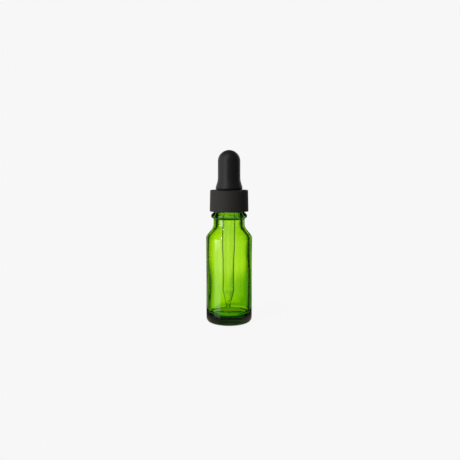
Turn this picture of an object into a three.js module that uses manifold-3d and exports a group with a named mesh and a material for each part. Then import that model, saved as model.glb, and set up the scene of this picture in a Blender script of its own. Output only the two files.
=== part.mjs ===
// A 15 ml (half ounce) glass dropper bottle: a round green glass bottle with an 18-400 screw neck,
// a black screw cap, a black rubber bulb held in the cap's hole, and a straight glass pipette held in
// the bulb. Four pieces, each turned from one outline, with the screw threads joined on as helical ridges.
// Millimetres, +Z up, origin at the centre of the base, everything on the Z axis, shown screwed shut.

import * as THREE from "three";
import { mergeVertices } from "three/addons/utils/BufferGeometryUtils.js";
import Module from "manifold-3d";

const wasm = await Module();
wasm.setup();

// Driving dimensions.
const BODY_R = 12.75; // bottle, at the shoulder and the heel
const NECK_R = 8.6; // bottle, between shoulder and bead
const LIP_Z = 71.2; // height of the glass
const GLASS = 1.75; // thickness of the bottle's wall
const BORE_R = 4.95; // clear mouth of the bottle
const ROOT_R = 7.75; // bottle's screw finish, between the threads
const THREAD_R = 8.8; // bottle's screw finish, over the threads
const PITCH = 3.175; // 8 threads to the inch, as on every 18-400 neck
const CAP_R = 10.78; // cap, at its open end
const CAP_HEIGHT = 11.75;
const BULB_R = 6.15;
const TUBE_R = 3.7; // pipette, in its upper half
const TOTAL_HEIGHT = 96.1;

// Places along the axis that follow from them.
const CAP_Z = LIP_Z - 8.95; // the cap's open end
const CAP_TOP_Z = CAP_Z + CAP_HEIGHT;
const SEAL_GAP = 0.1; // room left between pieces that bear on each other
const FLANGE_Z = LIP_Z + SEAL_GAP; // underside of the bulb's sealing flange
const TIP_Z = 7.6; // end of the pipette, just clear of the bottle's floor

const SIDES = 36; // facets round every turned piece
const ARC_STEP = 18; // degrees between the points of a rounded corner

const degrees = THREE.MathUtils.degToRad;
const at = (r, z) => new THREE.Vector2(r, z);

// Points of a circular arc in an outline, from one angle to another in degrees.
function arc(r, z, radius, from, to) {
  const steps = Math.max(2, Math.round(Math.abs(to - from) / ARC_STEP));
  return Array.from({ length: steps + 1 }, (_, i) => {
    const angle = degrees(from + ((to - from) * i) / steps);
    return at(r + radius * Math.cos(angle), z + radius * Math.sin(angle));
  });
}

// Points of a smooth curve through a few given ones.
const smooth = (points, steps) => new THREE.SplineCurve(points).getPoints(steps);

// An outline (radius, height) turned round the Z axis. It runs anticlockwise round the material,
// and it either starts and ends on the axis or closes on itself.
function turned(outline) {
  const spaced = outline.filter((p, i) => i === 0 || p.distanceTo(outline[i - 1]) > 1e-3);
  return new THREE.LatheGeometry(spaced, SIDES).rotateX(Math.PI / 2);
}

// A screw thread: a box bent round the Z axis along a rising helix, its height fading out at both ends.
// It reaches from footR, inside the wall that carries it, to crestR, and stands proud of wallR.
function ridge({ wallR, crestR, footWidth, crestWidth, startZ, startAngle, turns }) {
  const footDepth = 0.35;
  const fadedDepth = 0.1; // the faded ends of the crest lie just inside the wall
  const fadeAngle = 30; // degrees over which an end fades out
  const outward = Math.sign(crestR - wallR);
  const footR = wallR - outward * footDepth;
  const fadedR = wallR - outward * fadedDepth;
  const fadeShare = fadeAngle / (360 * turns);
  const steps = Math.round(SIDES * turns);
  const geometry = new THREE.BoxGeometry(1, 1, 1, steps, 1, 1);
  const corners = geometry.attributes.position;
  for (let i = 0; i < corners.count; i++) {
    const along = 0.5 + outward * corners.getX(i);
    const fade = Math.min(1, Math.min(along, 1 - along) / fadeShare);
    const isCrest = corners.getZ(i) > 0;
    const r = isCrest ? THREE.MathUtils.lerp(fadedR, crestR, fade) : footR;
    const width = isCrest ? crestWidth : footWidth;
    const angle = degrees(startAngle + 360 * turns * along);
    const z = startZ + PITCH * turns * along + corners.getY(i) * width;
    corners.setXYZ(i, r * Math.cos(angle), r * Math.sin(angle), z);
  }
  return geometry;
}

function solid(geometry) {
  const bare = geometry.clone();
  bare.deleteAttribute("normal");
  bare.deleteAttribute("uv");
  const merged = mergeVertices(bare, 1e-3);
  return new wasm.Manifold(
    new wasm.Mesh({
      numProp: 3,
      vertProperties: new Float32Array(merged.attributes.position.array),
      triVerts: new Uint32Array(merged.index.array),
    }),
  );
}

// Two overlapping closed geometries as one.
function joined(first, second) {
  const { vertProperties, triVerts } = solid(first).add(solid(second)).getMesh();
  const geometry = new THREE.BufferGeometry();
  geometry.setAttribute("position", new THREE.BufferAttribute(vertProperties, 3));
  geometry.setIndex(new THREE.BufferAttribute(triVerts, 1));
  geometry.computeVertexNormals();
  return geometry;
}

function piece(name, geometry, material, z) {
  const mesh = new THREE.Mesh(geometry, material);
  mesh.name = name;
  mesh.position.z = z;
  return mesh;
}

// Green glass bottle.

const SLOPE = 39; // degrees between the shoulder's slope and the axis
const SHOULDER_Z = 47.25; // where the body starts to turn in

// The shoulder from the body up to the neck: a round corner, a straight slope and a hollow corner.
function shoulder(bodyR, neckR, cornerR, hollowR, z) {
  const cos = Math.cos(degrees(SLOPE));
  const sin = Math.sin(degrees(SLOPE));
  const slopeWidth = bodyR - neckR - (cornerR + hollowR) * (1 - cos);
  const hollowZ = z + (cornerR + hollowR) * sin + (slopeWidth * cos) / sin;
  return [
    ...arc(bodyR - cornerR, z, cornerR, 0, SLOPE),
    ...arc(neckR + hollowR, hollowZ, hollowR, 180 + SLOPE, 180),
  ];
}

function bottleOutline() {
  const heelR = 2.15;
  const ringR = BODY_R - heelR; // outer edge of the flat ring that the bottle stands on
  const ringWidth = 1.6;
  const punt = 0.9; // how far the middle of the base is pushed up
  const waistR = BODY_R - 0.08; // the label panel is a shade slimmer than the body
  const beadR = 9.95; // the ring under the cap
  const beadZ = 59.8;
  const lipR = 0.6; // rounded outer edge of the mouth
  const mouthR = 0.45; // rounded inner edge of the mouth
  const throatTop = 65.5; // the bore is straight above this
  const floorZ = 5.2;
  const innerR = BODY_R - GLASS;
  const innerDrop = 1.0; // the inner shoulder lies lower than the outer one
  const innerNeckR = 6.5;
  const thickening = 0.35; // the wall is this much thicker near the floor
  const innerCornerR = 2.6; // between wall and floor
  const dish = 0.3; // the floor rises slightly towards its middle

  const base = [at(0, punt), at(4.2, punt * 0.8), at(ringR - ringWidth, 0)];
  const heel = arc(ringR, heelR, heelR, -90, 0);
  const panel = [at(BODY_R, 9.5), at(waistR, 18.5), at(waistR, 28.5), at(BODY_R, 37)];
  const outerShoulder = shoulder(BODY_R, NECK_R, 3.0, 4.5, SHOULDER_Z);
  const underBead = [at(NECK_R, 57.6), at(8.7, 58.15), at(9.45, 58.5), at(9.88, 59.1)];
  const overBead = [at(9.75, 60.4), at(9.0, 61.2), at(8.2, 61.8), at(ROOT_R, 62.5)];
  const bead = smooth([...underBead, at(beadR, beadZ), ...overBead], 12);
  const lip = arc(ROOT_R - lipR, LIP_Z - lipR, lipR, 0, 90);
  const mouth = [...arc(BORE_R + mouthR, LIP_Z - mouthR, mouthR, 90, 180), at(BORE_R, throatTop)];
  const throat = smooth([at(BORE_R, throatTop), at(5.4, 62.9), at(6.2, 59.6), at(innerNeckR, 57)], 5);
  const inside = shoulder(innerR, innerNeckR, 4.0, 5.5, SHOULDER_Z - innerDrop).reverse();
  const side = [at(innerR, 32), at(innerR - thickening / 2, 25), at(innerR - thickening, 18)];
  const corner = arc(innerR - thickening - innerCornerR, floorZ + innerCornerR, innerCornerR, 0, -90);
  const floor = [at(3.5, floorZ + dish * 0.7), at(0, floorZ + dish)];

  return [
    ...base,
    ...heel,
    ...panel,
    ...outerShoulder,
    ...bead,
    ...lip,
    ...mouth,
    ...throat,
    ...inside,
    ...side,
    ...corner,
    ...floor,
  ];
}

const NECK_THREAD = {
  wallR: ROOT_R,
  crestR: THREAD_R,
  footWidth: 1.75,
  crestWidth: 0.7,
  startZ: 65.2,
  startAngle: 110,
  turns: 1.25,
};

function bottle() {
  const green = new THREE.MeshStandardMaterial({ color: 0x8fd41c, roughness: 0.05, metalness: 0 });
  return piece("glass_bottle", joined(turned(bottleOutline()), ridge(NECK_THREAD)), green, 0);
}

// Black screw cap, drawn from its open end up.

const PANEL = 1.5; // thickness of the cap's top
const HOLE_R = 5.85; // the bulb passes through it
const CAP_INNER_R = 9.15;

function capOutline() {
  const draft = 0.25; // the side narrows by this towards the top, as it left its mould
  const topR = CAP_R - draft;
  const rimR = 0.15;
  const edgeR = 0.4;
  const leadIn = 0.25; // width of the bevel inside the open end
  const leadInHeight = 0.4;
  const fillet = 0.3; // under the top
  const holeBevel = 0.1;
  const underside = CAP_HEIGHT - PANEL;
  return [
    at(CAP_INNER_R + leadIn, 0),
    ...arc(CAP_R - rimR, rimR, rimR, -90, 0),
    ...arc(topR - edgeR, CAP_HEIGHT - edgeR, edgeR, 0, 90),
    at(HOLE_R + holeBevel, CAP_HEIGHT),
    at(HOLE_R, CAP_HEIGHT - holeBevel),
    at(HOLE_R, underside),
    at(CAP_INNER_R - fillet, underside),
    at(CAP_INNER_R, underside - fillet),
    at(CAP_INNER_R, leadInHeight),
    at(CAP_INNER_R + leadIn, 0),
  ];
}

// The cap's thread bears up under the bottle's: the same helix, lower by half of each thread's width
// and a little play.
function capThread() {
  const belowNeckThread = 1.3;
  const earlier = 60; // degrees by which it starts before the bottle's thread
  const startZ = NECK_THREAD.startZ - belowNeckThread - (PITCH * earlier) / 360 - CAP_Z;
  return ridge({
    wallR: CAP_INNER_R,
    crestR: 8.1,
    footWidth: 1.5,
    crestWidth: 0.6,
    startZ,
    startAngle: NECK_THREAD.startAngle - earlier,
    turns: 1.25,
  });
}

function cap() {
  const black = new THREE.MeshStandardMaterial({ color: 0x1c1b1b, roughness: 0.6, metalness: 0 });
  return piece("screw_cap", joined(turned(capOutline()), capThread()), black, CAP_Z);
}

// Black rubber bulb, drawn from the underside of its sealing flange up. The flange is squeezed between
// the bottle's lip and the cap's top, a groove holds the cap, and the bulb swells out above it.

const LEDGE = 3.2; // height of the ledge in the bulb that the pipette's rim sits on

function bulbOutline() {
  const height = TOTAL_HEIGHT - FLANGE_Z;
  const flangeR = 8.2;
  const flangeBevel = 0.2;
  const flangeTop = CAP_TOP_Z - PANEL - SEAL_GAP - FLANGE_Z;
  const capTop = CAP_TOP_Z - FLANGE_Z;
  const grooveR = HOLE_R - 0.2;
  const gripR = TUBE_R + SEAL_GAP; // the hole that grips the pipette
  const ledgeBevel = 0.4;
  const wall = 1.4;
  const hollowR = BULB_R - wall;
  const domeZ = height - BULB_R;
  const cheek = [
    at(6.6, capTop + SEAL_GAP),
    at(7.15, capTop + 0.45),
    at(7.4, capTop + 1.2),
    at(7.15, capTop + 2.3),
    at(6.65, capTop + 3.9),
    at(6.25, capTop + 5.6),
    at(BULB_R, capTop + 7.6),
  ];
  return [
    at(gripR, 0),
    at(flangeR - flangeBevel, 0),
    at(flangeR, flangeBevel),
    at(flangeR, flangeTop - flangeBevel),
    at(flangeR - flangeBevel, flangeTop),
    at(grooveR, flangeTop),
    at(grooveR, capTop + SEAL_GAP),
    ...smooth(cheek, 10),
    ...arc(0, domeZ, BULB_R, 0, 90),
    ...arc(0, domeZ, hollowR, 90, 0),
    at(hollowR, LEDGE + ledgeBevel),
    at(hollowR - ledgeBevel, LEDGE),
    at(gripR, LEDGE),
    at(gripR, 0),
  ];
}

function bulb() {
  const rubber = new THREE.MeshStandardMaterial({ color: 0x1a1a1a, roughness: 0.75, metalness: 0 });
  return piece("rubber_bulb", turned(bulbOutline()), rubber, FLANGE_Z);
}

// Glass pipette, drawn from its tip up: a drawn-out point, a straight stem, a slightly wider upper
// half and a flared rim above the bulb's ledge.

function pipetteOutline() {
  const wall = 0.9;
  const stemR = 3.35;
  const tipR = 1.3;
  const tipBoreR = 0.5;
  const point = 9.7; // length of the drawn-out point
  const stem = 27.9; // where the stem starts to widen
  const upper = 34.4; // where it has reached its full width
  const rimR = 4.45;
  const rimZ = FLANGE_Z + LEDGE + 0.05 - TIP_Z; // underside of the flared rim, just clear of the ledge
  const top = rimZ + 1.7;
  const mouthR = TUBE_R - wall;
  return [
    at(tipBoreR, 0.1),
    at(tipBoreR + 0.15, 0),
    at(tipR - 0.2, 0),
    at(tipR, 0.25),
    ...smooth([at(1.8, 3.4), at(2.7, 7.2), at(stemR, point), at(stemR, point + 1.5)], 4),
    at(stemR, stem),
    at(TUBE_R, upper),
    at(TUBE_R, rimZ),
    at(rimR, rimZ + 0.2),
    at(rimR, top - 0.6),
    at(rimR - 0.5, top),
    at(mouthR + 0.4, top),
    at(mouthR, top - 0.5),
    at(mouthR, upper),
    at(stemR - wall, stem),
    at(stemR - wall, point + 1.5),
    ...smooth([at(stemR - wall, point), at(1.85, 7.2), at(0.95, 3.4), at(tipBoreR, 1.2)], 4),
    at(tipBoreR, 0.1),
  ];
}

function pipette() {
  const clear = new THREE.MeshStandardMaterial({ color: 0xe9f2ee, roughness: 0.05, metalness: 0 });
  return piece("glass_pipette", turned(pipetteOutline()), clear, TIP_Z);
}

// The dropper unscrews and lifts out of the bottle as one.
const dropper = new THREE.Group();
dropper.add(pipette(), cap(), bulb());

const dropperBottle = new THREE.Group();
dropperBottle.add(bottle(), dropper);

export default dropperBottle;
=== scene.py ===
"""The looks of a 15 ml glass dropper bottle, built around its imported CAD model.

Outlines are in millimetres, as in the CAD source, and each mesh is scaled to metres when it is made.
Everything is turned round the Z axis, which runs up through the centre of the base.
"""

import math

import bpy
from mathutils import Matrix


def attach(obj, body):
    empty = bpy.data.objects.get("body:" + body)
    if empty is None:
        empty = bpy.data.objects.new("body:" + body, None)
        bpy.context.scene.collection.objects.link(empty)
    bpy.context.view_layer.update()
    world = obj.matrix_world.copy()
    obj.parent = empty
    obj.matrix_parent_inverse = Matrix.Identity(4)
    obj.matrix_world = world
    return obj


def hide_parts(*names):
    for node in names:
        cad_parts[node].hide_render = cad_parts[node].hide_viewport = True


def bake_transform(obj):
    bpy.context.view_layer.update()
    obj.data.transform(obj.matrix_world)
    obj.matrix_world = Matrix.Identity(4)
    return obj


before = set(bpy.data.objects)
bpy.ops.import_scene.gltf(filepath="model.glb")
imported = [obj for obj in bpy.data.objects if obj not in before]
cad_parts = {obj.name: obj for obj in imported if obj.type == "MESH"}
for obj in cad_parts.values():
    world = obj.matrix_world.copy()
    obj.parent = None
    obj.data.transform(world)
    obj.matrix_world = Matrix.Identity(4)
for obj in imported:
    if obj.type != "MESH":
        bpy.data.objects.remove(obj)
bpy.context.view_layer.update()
scene = bpy.context.scene

MM = 0.001
TAU = 2 * math.pi


# ---------------------------------------------------------------------------------------- sizes (mm)

BODY_R = 12.75
NECK_R = 8.6
LIP_Z = 71.2
GLASS = 1.75
BORE_R = 4.95
ROOT_R = 7.75
THREAD_R = 8.8
PITCH = 3.175
THREAD_TURNS = 1.25
NECK_THREAD_Z = 65.2
NECK_THREAD_ANGLE = 110  # degrees, where the neck's thread starts
CAP_THREAD_ANGLE = 50  # degrees, where the cap's thread starts
CAP_THREAD_DROP = 1.3  # the cap's thread lies this far below the neck's
CAP_R = 10.78
CAP_HEIGHT = 11.75
BULB_R = 6.15
TUBE_R = 3.7
TOTAL_HEIGHT = 96.1
CAP_Z = LIP_Z - 8.95
CAP_TOP_Z = CAP_Z + CAP_HEIGHT
SEAL_GAP = 0.1
FLANGE_Z = LIP_Z + SEAL_GAP
TIP_Z = 7.6

SIDES = 160  # steps round every turned piece
ARC_STEP = 9.0  # degrees between the points of a rounded corner
ON_AXIS = 1e-6  # a point nearer to the axis than this is on it
SAME_PLACE = 1e-4  # points nearer than this are one point


# ------------------------------------------------------------------------------------------- camera

CAMERA_DISTANCE = 0.3213
CAMERA_HEIGHT = 0.0896
CAMERA_ASIDE = 0.0005
CAMERA_PITCH = 5.37  # degrees below level
CAMERA_SHIFT = -0.03  # the rest of the framing, so that the bottle's sides stay nearly parallel
LENS = 45.34


def make_camera():
    data = bpy.data.cameras.new("camera")
    data.lens = LENS
    data.sensor_width = 36.0
    data.shift_y = CAMERA_SHIFT
    data.clip_start = 0.01
    data.clip_end = 50.0
    camera = bpy.data.objects.new("camera", data)
    camera.location = (CAMERA_ASIDE, -CAMERA_DISTANCE, CAMERA_HEIGHT)
    camera.rotation_euler = (math.radians(90 - CAMERA_PITCH), 0, 0)
    scene.collection.objects.link(camera)
    scene.camera = camera


make_camera()


# ------------------------------------------------------------------------------------- mesh helpers


def arc(r, z, radius, start, end):
    """Points of a circular arc in an outline, from one angle to another in degrees."""
    steps = max(2, round(abs(end - start) / ARC_STEP))
    angles = [math.radians(start + (end - start) * i / steps) for i in range(steps + 1)]
    return [(r + radius * math.cos(a), z + radius * math.sin(a)) for a in angles]


def smooth(points, steps):
    """A Catmull-Rom curve through a few points, with this many steps between each two."""
    ends = [points[0], *points, points[-1]]
    curve = []
    for a, b, c, d in zip(ends, ends[1:], ends[2:], ends[3:]):
        for i in range(steps):
            t = i / steps
            curve.append(
                tuple(
                    0.5 * (2 * b[k] + (c[k] - a[k]) * t + (2 * a[k] - 5 * b[k] + 4 * c[k] - d[k]) * t**2
                           + (3 * b[k] - a[k] - 3 * c[k] + d[k]) * t**3)
                    for k in (0, 1)
                )
            )
    return [*curve, points[-1]]


def filled(outline, step):
    """The outline with points added, so that none are further apart than step."""
    dense = [outline[0]]
    for (r0, z0), (r1, z1) in zip(outline, outline[1:]):
        length = math.hypot(r1 - r0, z1 - z0)
        if length < SAME_PLACE:
            continue
        along_axis = r0 < ON_AXIS and r1 < ON_AXIS
        count = 1 if along_axis else math.ceil(length / step)
        for i in range(1, count + 1):
            dense.append((r0 + (r1 - r0) * i / count, z0 + (z1 - z0) * i / count))
    return dense


def turned(name, outline, moved=None, sides=SIDES):
    """A mesh object: the outline turned round Z.

    moved(angle, r, z, i), if it is given, says where point i of the outline goes at an angle.
    """
    closed = math.dist(outline[0], outline[-1]) < SAME_PLACE
    rings = outline[:-1] if closed else outline
    verts, index = [], []
    for i, (r, z) in enumerate(rings):
        if r < ON_AXIS:
            index.append([len(verts)] * sides)
            verts.append((0, 0, z * MM))
            continue
        index.append(list(range(len(verts), len(verts) + sides)))
        for n in range(sides):
            angle = TAU * n / sides
            point = moved(angle, r, z, i) if moved else (r * math.cos(angle), r * math.sin(angle), z)
            verts.append([value * MM for value in point])
    faces = []
    for a, b in zip(index, index[1:] + index[:1] if closed else index[1:]):
        for n in range(sides):
            m = (n + 1) % sides
            corners = list(dict.fromkeys([a[n], a[m], b[m], b[n]]))
            if len(corners) > 2:
                faces.append(corners)
    mesh = bpy.data.meshes.new(name)
    mesh.from_pydata(verts, [], faces)
    mesh.shade_smooth()
    piece = bpy.data.objects.new(name, mesh)
    scene.collection.objects.link(piece)
    return piece


def ease(x):
    """Smooth step from 0 to 1."""
    x = min(1.0, max(0.0, x))
    return x * x * (3 - 2 * x)


def off_axis(r):
    """1 from 8 mm outwards, falling to 0 on the axis, so that a change to the walls fades out there."""
    return min(1.0, r / 8)


def seam(angle, r, width):
    """How much of its full height a mould seam has: there is one on each side, at +X and at -X."""
    return ease(1 - abs(r * math.sin(angle)) / width)


def thread_height(angle, z, start_z, start_angle, turns, foot, crest):
    """How much of its full height a screw thread has: 1 on the crest, 0 off the thread."""
    first = (math.degrees(angle) - start_angle) % 360
    best = 0.0
    for turn in range(math.ceil(turns)):
        along = first + 360 * turn
        if along > 360 * turns:
            continue
        fade = ease(min(along, 360 * turns - along) / 30)
        off = abs(z - start_z - PITCH * along / 360)
        best = max(best, fade * ease((foot - 2 * off) / (foot - crest)))
    return best


# ----------------------------------------------------------------------------------------- materials


def new_material(name):
    material = bpy.data.materials.new(name)
    material.use_nodes = True
    nodes = material.node_tree.nodes
    nodes.clear()
    output = nodes.new("ShaderNodeOutputMaterial")
    return material, nodes, material.node_tree.links, output


def glass(name, ior, per_mm):
    """Clear glass that takes light away along its path. per_mm is what one millimetre lets through."""
    material, nodes, links, output = new_material(name)
    shader = nodes.new("ShaderNodeBsdfPrincipled")
    shader.inputs["Base Color"].default_value = (1, 1, 1, 1)
    shader.inputs["Transmission Weight"].default_value = 1.0
    shader.inputs["Roughness"].default_value = 0.0
    shader.inputs["IOR"].default_value = ior
    links.new(shader.outputs["BSDF"], output.inputs["Surface"])
    volume = nodes.new("ShaderNodeVolumeAbsorption")
    taken = [-math.log(share) / MM for share in per_mm]
    density = 2 * max(taken)
    volume.inputs["Color"].default_value = (*[1 - t / density for t in taken], 1)
    volume.inputs["Density"].default_value = density
    links.new(volume.outputs["Volume"], output.inputs["Volume"])
    return material


def matte(name, colour, roughness, grain_size, grain_depth):
    """A dull moulded surface with a fine grain."""
    material, nodes, links, output = new_material(name)
    shader = nodes.new("ShaderNodeBsdfPrincipled")
    shader.inputs["Base Color"].default_value = (*colour, 1)
    shader.inputs["Roughness"].default_value = roughness
    links.new(shader.outputs["BSDF"], output.inputs["Surface"])
    place = nodes.new("ShaderNodeTexCoord")
    noise = nodes.new("ShaderNodeTexNoise")
    noise.inputs["Scale"].default_value = 1 / (grain_size * MM)
    noise.inputs["Detail"].default_value = 3
    links.new(place.outputs["Object"], noise.inputs["Vector"])
    bump = nodes.new("ShaderNodeBump")
    bump.inputs["Strength"].default_value = 0.5
    bump.inputs["Distance"].default_value = grain_depth * MM
    links.new(noise.outputs["Fac"], bump.inputs["Height"])
    links.new(bump.outputs["Normal"], shader.inputs["Normal"])
    return material


green_glass = glass("green_glass", 1.5, (0.735, 0.88, 0.2))
clear_glass = glass("clear_glass", 1.48, (0.97, 0.99, 0.985))
black_plastic = matte("black_plastic", (0.05, 0.045, 0.043), 0.75, 0.25, 0.02)
black_rubber = matte("black_rubber", (0.021, 0.021, 0.021), 0.48, 0.15, 0.015)


# -------------------------------------------------------------------------------------------- bottle

LEAN = 0.3  # how far the hollow's middle is off the axis
WAVE = 0.05  # ripple in the blown hollow
THICKENING = 0.35  # the wall is this much thicker near the floor
SEAM_HEIGHT = 0.05  # mould seams, on the glass
FINISH_Z = 62.2  # the neck is threaded above this height
SLOPE = math.radians(39)
SHOULDER_Z = 47.25


def shoulder(body_r, neck_r, corner_r, hollow_r, z=SHOULDER_Z):
    """From the body up to the neck: a round corner, a straight slope and a hollow corner."""
    slope_width = body_r - neck_r - (corner_r + hollow_r) * (1 - math.cos(SLOPE))
    hollow_z = z + (corner_r + hollow_r) * math.sin(SLOPE) + slope_width / math.tan(SLOPE)
    slope = math.degrees(SLOPE)
    return [
        *arc(body_r - corner_r, z, corner_r, 0, slope),
        *arc(neck_r + hollow_r, hollow_z, hollow_r, 180 + slope, 180),
    ]


def bottle_outline():
    """Outer surface up, inner surface down. Returns the outline and how many of its points are outside."""
    heel_r = 2.15
    ring_r = BODY_R - heel_r
    waist_r = BODY_R - 0.08
    base = smooth([(0, 0.9), (4.2, 0.75), (ring_r - 1.6, 0.0)], 6)
    side_r = BODY_R - 0.03
    panel = smooth([(BODY_R, 5), (side_r, 13), (waist_r, 23), (side_r, 33), (BODY_R, 42)], 8)
    bead = [(NECK_R, 57.6), (8.7, 58.15), (9.45, 58.5), (9.88, 59.1), (9.95, 59.8), (9.75, 60.4), (9.0, 61.2)]
    bead = smooth([*bead, (8.2, 61.8), (ROOT_R, 62.5)], 5)
    lip = arc(ROOT_R - 0.6, LIP_Z - 0.6, 0.6, 0, 90)
    mouth = [*arc(BORE_R + 0.45, LIP_Z - 0.45, 0.45, 90, 180), (BORE_R, 65.5)]
    outside = [
        *base,
        *arc(ring_r, heel_r, heel_r, -90, 0),
        *panel,
        *shoulder(BODY_R, NECK_R, 3.0, 4.5),
        *bead,
        *lip,
    ]
    inner_r = BODY_R - GLASS
    inner_neck_r = NECK_R - GLASS - 0.35
    floor_z = 5.2
    corner_r = 2.6
    throat = smooth([(BORE_R, 65.5), (5.4, 62.9), (6.2, 59.6), (inner_neck_r, 57)], 6)
    inside = [
        *mouth,
        *throat,
        *reversed(shoulder(inner_r, inner_neck_r, 4.0, 5.5, SHOULDER_Z - 1.0)),
        *arc(inner_r - corner_r, floor_z + corner_r, corner_r, 0, -90),
        (3.5, floor_z + 0.2),
        (0, floor_z + 0.3),
    ]
    outer = filled(outside, 0.5)
    return outer + filled(inside, 0.7), len(outer)


def make_bottle():
    outline, outer_count = bottle_outline()

    def moved(angle, r, z, i):
        aside = 0.0
        if i < outer_count and z < LIP_Z - 0.7:
            r += SEAM_HEIGHT * seam(angle, r, 0.6) * off_axis(r)
        if i < outer_count and z > FINISH_Z:
            height = thread_height(angle, z, NECK_THREAD_Z, NECK_THREAD_ANGLE, THREAD_TURNS, 1.75, 0.5)
            r += (THREAD_R - ROOT_R) * height
        if i >= outer_count and z < 60:
            wave = math.sin(2 * angle + 0.09 * z) * math.sin(0.16 * z) + 0.6 * math.sin(3 * angle - 0.21 * z)
            r += WAVE * wave * off_axis(r)
            # The blown hollow wanders off the axis: to the left high up, to the right lower down.
            aside = LEAN * (1.3 * ease((40 - z) / 18) - 1) * ease((z - 8) / 10) * ease((58 - z) / 10)
            r -= THICKENING * ease((34 - z) / 18) * off_axis(r)
        return r * math.cos(angle) + aside, r * math.sin(angle), z

    bottle = turned("green_bottle", outline, moved)
    bottle.data.materials.append(green_glass)
    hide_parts("glass_bottle")
    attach(bottle, "bottle")


make_bottle()


# ----------------------------------------------------------------------------------------------- cap

PANEL = 1.5
HOLE_R = 5.85
CAP_INNER_R = 9.15
CAP_THREAD_R = 8.1


def make_cap():
    top_r = CAP_R - 0.25
    rim_r = 0.15
    edge_r = 0.4
    underside = CAP_HEIGHT - PANEL
    outline = [
        (CAP_INNER_R + 0.25, 0),
        *arc(CAP_R - rim_r, rim_r, rim_r, -90, 0),
        *arc(top_r - edge_r, CAP_HEIGHT - edge_r, edge_r, 0, 90),
        (HOLE_R + 0.1, CAP_HEIGHT),
        (HOLE_R, CAP_HEIGHT - 0.1),
        (HOLE_R, underside),
        (CAP_INNER_R - 0.3, underside),
        (CAP_INNER_R, underside - 0.3),
        (CAP_INNER_R, 0.4),
        (CAP_INNER_R + 0.25, 0),
    ]
    outline = filled([(r, z + CAP_Z) for r, z in outline], 0.4)
    start_z = NECK_THREAD_Z - CAP_THREAD_DROP - PITCH * (NECK_THREAD_ANGLE - CAP_THREAD_ANGLE) / 360

    def moved(angle, r, z, i):
        if abs(r - CAP_INNER_R) < 0.01:
            height = thread_height(angle, z, start_z, CAP_THREAD_ANGLE, THREAD_TURNS, 1.5, 0.6)
            r -= (CAP_INNER_R - CAP_THREAD_R) * height
        return r * math.cos(angle), r * math.sin(angle), z

    cap = turned("black_cap", outline, moved)
    cap.data.materials.append(black_plastic)
    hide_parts("screw_cap")
    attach(cap, "cap")


make_cap()


# ---------------------------------------------------------------------------------------------- bulb


def make_bulb():
    height = TOTAL_HEIGHT - FLANGE_Z
    flange_r = 8.2
    flange_top = CAP_TOP_Z - PANEL - SEAL_GAP - FLANGE_Z
    cap_top = CAP_TOP_Z - FLANGE_Z
    groove_r = HOLE_R - 0.2
    grip_r = TUBE_R + 0.1
    ledge = 3.2
    hollow_r = BULB_R - 1.4
    dome_z = height - BULB_R
    cheek = [
        (6.6, cap_top + SEAL_GAP),
        (7.15, cap_top + 0.45),
        (7.4, cap_top + 1.2),
        (7.15, cap_top + 2.3),
        (6.65, cap_top + 3.9),
        (6.25, cap_top + 5.6),
        (BULB_R, cap_top + 7.6),
    ]
    outline = [
        (grip_r, 0),
        (flange_r - 0.2, 0),
        (flange_r, 0.2),
        (flange_r, flange_top - 0.2),
        (flange_r - 0.2, flange_top),
        (groove_r, flange_top),
        (groove_r, cap_top + SEAL_GAP),
        *smooth(cheek, 6),
        *arc(0, dome_z, BULB_R, 0, 90)[:-1],
        (0, height),
        (0, dome_z + hollow_r),
        *arc(0, dome_z, hollow_r, 90, 0)[1:],
        (hollow_r, ledge + 0.4),
        (hollow_r - 0.4, ledge),
        (grip_r, ledge),
        (grip_r, 0),
    ]
    outline = filled([(r, z + FLANGE_Z) for r, z in outline], 0.5)

    def moved(angle, r, z, i):
        if z > CAP_TOP_Z and r > hollow_r + 0.2:
            r += 0.06 * seam(angle, r, 0.35)
        return r * math.cos(angle), r * math.sin(angle), z

    bulb = turned("black_bulb", outline, moved)
    bulb.data.materials.append(black_rubber)
    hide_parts("rubber_bulb")
    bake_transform(bulb)


make_bulb()


# ------------------------------------------------------------------------------------------- pipette


def make_pipette():
    wall = 0.45
    stem_r = 3.35
    lean = 0.5  # how far to the left its tip hangs
    point = 9.7
    stem = 27.9
    upper = 34.4
    rim_r = 4.45
    rim_z = FLANGE_Z + 3.25 - TIP_Z
    top = rim_z + 1.7
    outline = [
        (0.5, 0.15),
        (0.65, 0),
        (1.1, 0),
        (1.3, 0.25),
        *smooth([(1.3, 0.3), (1.8, 3.4), (2.7, 7.2), (stem_r, point), (stem_r, point + 1.5)], 8),
        *smooth([(stem_r, stem - 2), (stem_r, stem), (TUBE_R, upper), (TUBE_R, upper + 2)], 8),
        (TUBE_R, rim_z),
        *arc(rim_r - 0.6, rim_z + 0.8, 0.6, -90, 90),
        *arc(TUBE_R - wall + 0.45, top - 0.5, 0.45, 90, 180),
        *smooth([(TUBE_R - wall, upper + 2), (TUBE_R - wall, upper),
                 (stem_r - wall, stem), (stem_r - wall, stem - 2)], 8),
        *smooth([(stem_r - wall, point + 1.5), (stem_r - wall, point),
                 (2.7 - wall, 7.2), (1.35, 3.4), (0.5, 0.6)], 8),
        (0.5, 0.15),
    ]
    outline = filled([(r, z + TIP_Z) for r, z in outline], 0.8)

    def moved(angle, r, z, i):
        aside = -lean * max(0.0, FLANGE_Z - z) / (FLANGE_Z - TIP_Z)
        return r * math.cos(angle) + aside, r * math.sin(angle), z

    pipette = turned("clear_pipette", outline, moved, sides=96)
    pipette.data.materials.append(clear_glass)
    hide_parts("glass_pipette")
    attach(pipette, "pipette")


make_pipette()


# -------------------------------------------------------------------------------------------- studio

PAPER = 0.93  # what the camera sees of the pale backdrop and floor

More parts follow.
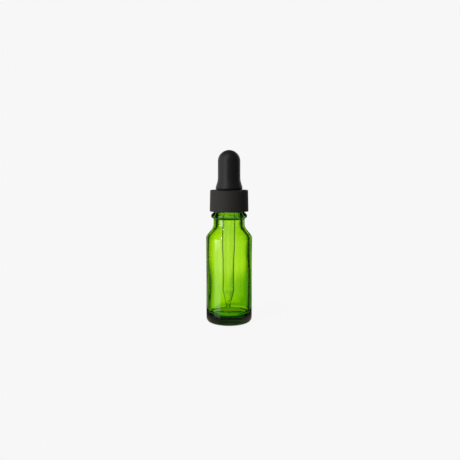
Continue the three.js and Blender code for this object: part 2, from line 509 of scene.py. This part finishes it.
# Lit panels round the object: azimuth, half width, lowest and highest elevation, softness of the edges,
# all in degrees, and brightness. Azimuth 90 is straight behind the bottle as the camera sees it, and 180 is
# to its left. The first set is seen through the glass, the second is mirrored in it, and the third lights
# the dull black pieces. The first set isn't even: it leaves gaps, widest round azimuths 225 and 33, and with
# a gap behind it the glass looks dark.
SEEN_THROUGH = (
    (180, 17, -24, 14, 3, 1.2),
    (0, 17, -24, 14, 3, 1.2),
    (270, 17, -24, 14, 3, 1.2),
    (135, 15, -44, -21, 3, 1.2),
    (135, 2, -24, -12, 1, 0.85),  # behind the lifted pipette, as seen from its front right
    (315, 17, -34, 8, 3, 1.2),
    (66, 20, -48, -35, 3, 1.3),
)
MIRRORED = (
    (219.5, 11, -12.3, -8, 1.5, 1.9),
    (216, 9, -14.8, -11.5, 1.5, 1.9),
    (207, 17, -14.8, -8, 1.5, 1.3),
    (209, 15, -8.5, 6, 2, 5.5),
    (220, 6, 44, 56, 2, 32.0),
    (140, 20, -24, 0, 5, 0.05),
    (40, 20, -24, 0, 5, 0.05),
)
SOFT = (
    (180, 35, -30, 40, 25, 0.68),
    (229, 12, -20, 40, 10, 2.4),
    (232, 10, 40, 62, 6, 4.5),
    (90, 50, -10, 25, 15, 0.9),
)


def make_world():
    world = bpy.data.worlds.new("studio")
    world.use_nodes = True
    nodes = world.node_tree.nodes
    links = world.node_tree.links
    nodes.clear()

    def math_node(operation, *values):
        node = nodes.new("ShaderNodeMath")
        node.operation = operation
        for socket, value in zip(node.inputs, values):
            if isinstance(value, (int, float)):
                socket.default_value = value
            else:
                links.new(value, socket)
        return node.outputs[0]

    def window(value, low, high, smoothed=True, bottom=0.0, top=1.0):
        """bottom below low, top above high, sliding between them."""
        node = nodes.new("ShaderNodeMapRange")
        node.interpolation_type = "SMOOTHSTEP" if smoothed else "LINEAR"
        links.new(value, node.inputs["Value"])
        node.inputs["From Min"].default_value = low
        node.inputs["From Max"].default_value = high
        node.inputs["To Min"].default_value = bottom
        node.inputs["To Max"].default_value = top
        return node.outputs["Result"]

    place = nodes.new("ShaderNodeTexCoord")
    split = nodes.new("ShaderNodeSeparateXYZ")
    links.new(place.outputs["Generated"], split.inputs[0])
    x, y, z = split.outputs
    azimuth = math_node("DEGREES", math_node("ARCTAN2", y, x))
    elevation = math_node("DEGREES", math_node("ARCSINE", z))

    def turn_from(centre):
        return math_node("WRAP", math_node("SUBTRACT", azimuth, centre), 180, -180)

    def panel(centre, half, lowest, highest, edge, level):
        across = window(math_node("ABSOLUTE", turn_from(centre)), half + edge, half - edge)
        bottom = window(elevation, lowest - edge, lowest + edge)
        top = window(elevation, highest + edge, highest - edge)
        return math_node("MULTIPLY", math_node("MULTIPLY", across, level), math_node("MULTIPLY", bottom, top))

    def brightest(values):
        total = values[0]
        for value in values[1:]:
            total = math_node("MAXIMUM", total, value)
        return total

    # The light behind the bottle fades towards its sides, upwards and far down.
    right_edge = window(turn_from(90), -42, -16, top=1.27)
    left_edge = window(turn_from(90), 36, 20)
    back = math_node("MULTIPLY", right_edge, left_edge)
    height = math_node("MULTIPLY_ADD", turn_from(90), -0.25, elevation)
    for fade in (
        window(height, 18, 8, bottom=0.12),
        window(elevation, -58, -30, bottom=0.3),
    ):
        back = math_node("MULTIPLY", back, fade)
    through = brightest([back] + [panel(*row) for row in SEEN_THROUGH])
    through = math_node("MAXIMUM", through, window(elevation, -54, -62, top=0.9))
    through = math_node("ADD", through, 0.03)
    # Low down to the right, and far left, what is seen through the glass is tinted green.
    tint = nodes.new("ShaderNodeMixRGB")
    tint.inputs["Color1"].default_value = (0.3, 0.53, 0.02, 1)
    tint.inputs["Color2"].default_value = (1, 1, 1, 1)
    lowness = math_node("MULTIPLY_ADD", turn_from(90), 0.3, elevation)
    to_left = window(turn_from(90), -2, 7, top=0.8)
    clear = math_node("MAXIMUM", window(lowness, -17.3, -11.8), to_left)
    clear = math_node("MULTIPLY", clear, window(turn_from(90), 25, 3, bottom=0.45))
    clear = math_node("MAXIMUM", clear, window(elevation, -29, -36))
    aside = math_node("ABSOLUTE", turn_from(90))
    clear = math_node("MAXIMUM", clear, window(aside, 36, 44))
    links.new(clear, tint.inputs["Fac"])

    # A broad weak light from the front, fading to the right, over the strong ones.
    broad = window(turn_from(270), 75, -20, smoothed=False, bottom=0.1, top=0.9)
    broad = math_node("MULTIPLY", broad, window(elevation, -13, -11))
    broad = math_node("MULTIPLY", broad, window(math_node("ABSOLUTE", turn_from(285)), 95, 60))
    low = window(math_node("ABSOLUTE", turn_from(270)), 30, 100, bottom=0.22, top=0.42)
    low = math_node("MULTIPLY", low, window(elevation, -14.8, -15.6))
    mirrored = brightest([broad, low] + [panel(*row) for row in MIRRORED])
    mirrored = math_node("ADD", mirrored, 0.03)
    warm = nodes.new("ShaderNodeMixRGB")
    warm.inputs["Color1"].default_value = (1, 0.98, 0.7, 1)
    warm.inputs["Color2"].default_value = (1, 1, 1, 1)
    links.new(window(elevation, -15.6, -14.8), warm.inputs["Fac"])
    soft = math_node("ADD", brightest([panel(*row) for row in SOFT]), 0.09)

    rays = nodes.new("ShaderNodeLightPath")

    def background(strength, colour=None):
        node = nodes.new("ShaderNodeBackground")
        node.inputs["Color"].default_value = (1, 1, 1, 1)
        if colour:
            links.new(colour, node.inputs["Color"])
        if isinstance(strength, float):
            node.inputs["Strength"].default_value = strength
        else:
            links.new(strength, node.inputs["Strength"])
        return node.outputs[0]

    def choose(test, otherwise, chosen):
        mix = nodes.new("ShaderNodeMixShader")
        links.new(rays.outputs[test], mix.inputs[0])
        links.new(otherwise, mix.inputs[1])
        links.new(chosen, mix.inputs[2])
        return mix.outputs[0]

    # Each kind of ray meets its own surroundings: through glass, mirrored in it, or spread by a dull surface.
    unseen = choose("Is Singular Ray", background(soft), background(mirrored, warm.outputs[0]))
    unseen = choose("Is Transmission Ray", unseen, background(through, tint.outputs[0]))
    output = nodes.new("ShaderNodeOutputWorld")
    links.new(choose("Is Camera Ray", unseen, background(PAPER)), output.inputs["Surface"])
    scene.world = world


def make_floor():
    """Dull paper near the bottle, which takes a faint shadow. Further out it is as bright as the backdrop."""
    mesh = bpy.data.meshes.new("floor")
    far = 6.0
    mesh.from_pydata([(-far, -far, 0), (far, -far, 0), (far, far, 0), (-far, far, 0)], [], [(0, 1, 2, 3)])
    floor = bpy.data.objects.new("floor", mesh)
    floor.location.z = -0.02 * MM
    scene.collection.objects.link(floor)
    material, nodes, links, output = new_material("floor_paper")
    diffuse = nodes.new("ShaderNodeBsdfDiffuse")
    diffuse.inputs["Color"].default_value = (0.1, 0.1, 0.1, 1)
    glow = nodes.new("ShaderNodeEmission")
    glow.inputs["Strength"].default_value = 0.9
    near = nodes.new("ShaderNodeAddShader")
    links.new(diffuse.outputs[0], near.inputs[0])
    links.new(glow.outputs[0], near.inputs[1])
    far_glow = nodes.new("ShaderNodeEmission")
    far_glow.inputs["Strength"].default_value = PAPER
    place = nodes.new("ShaderNodeTexCoord")
    distance = nodes.new("ShaderNodeVectorMath")
    distance.operation = "LENGTH"
    links.new(place.outputs["Object"], distance.inputs[0])
    fade = nodes.new("ShaderNodeMapRange")
    fade.interpolation_type = "SMOOTHSTEP"
    fade.inputs["From Min"].default_value = 0.02
    fade.inputs["From Max"].default_value = 0.09
    links.new(distance.outputs["Value"], fade.inputs["Value"])
    mix = nodes.new("ShaderNodeMixShader")
    links.new(fade.outputs["Result"], mix.inputs[0])
    links.new(near.outputs[0], mix.inputs[1])
    links.new(far_glow.outputs[0], mix.inputs[2])
    links.new(mix.outputs[0], output.inputs["Surface"])
    mesh.materials.append(material)
    floor.visible_glossy = False
    floor.visible_transmission = False
    floor.visible_diffuse = False


make_world()
make_floor()
scene.view_settings.view_transform = "Standard"
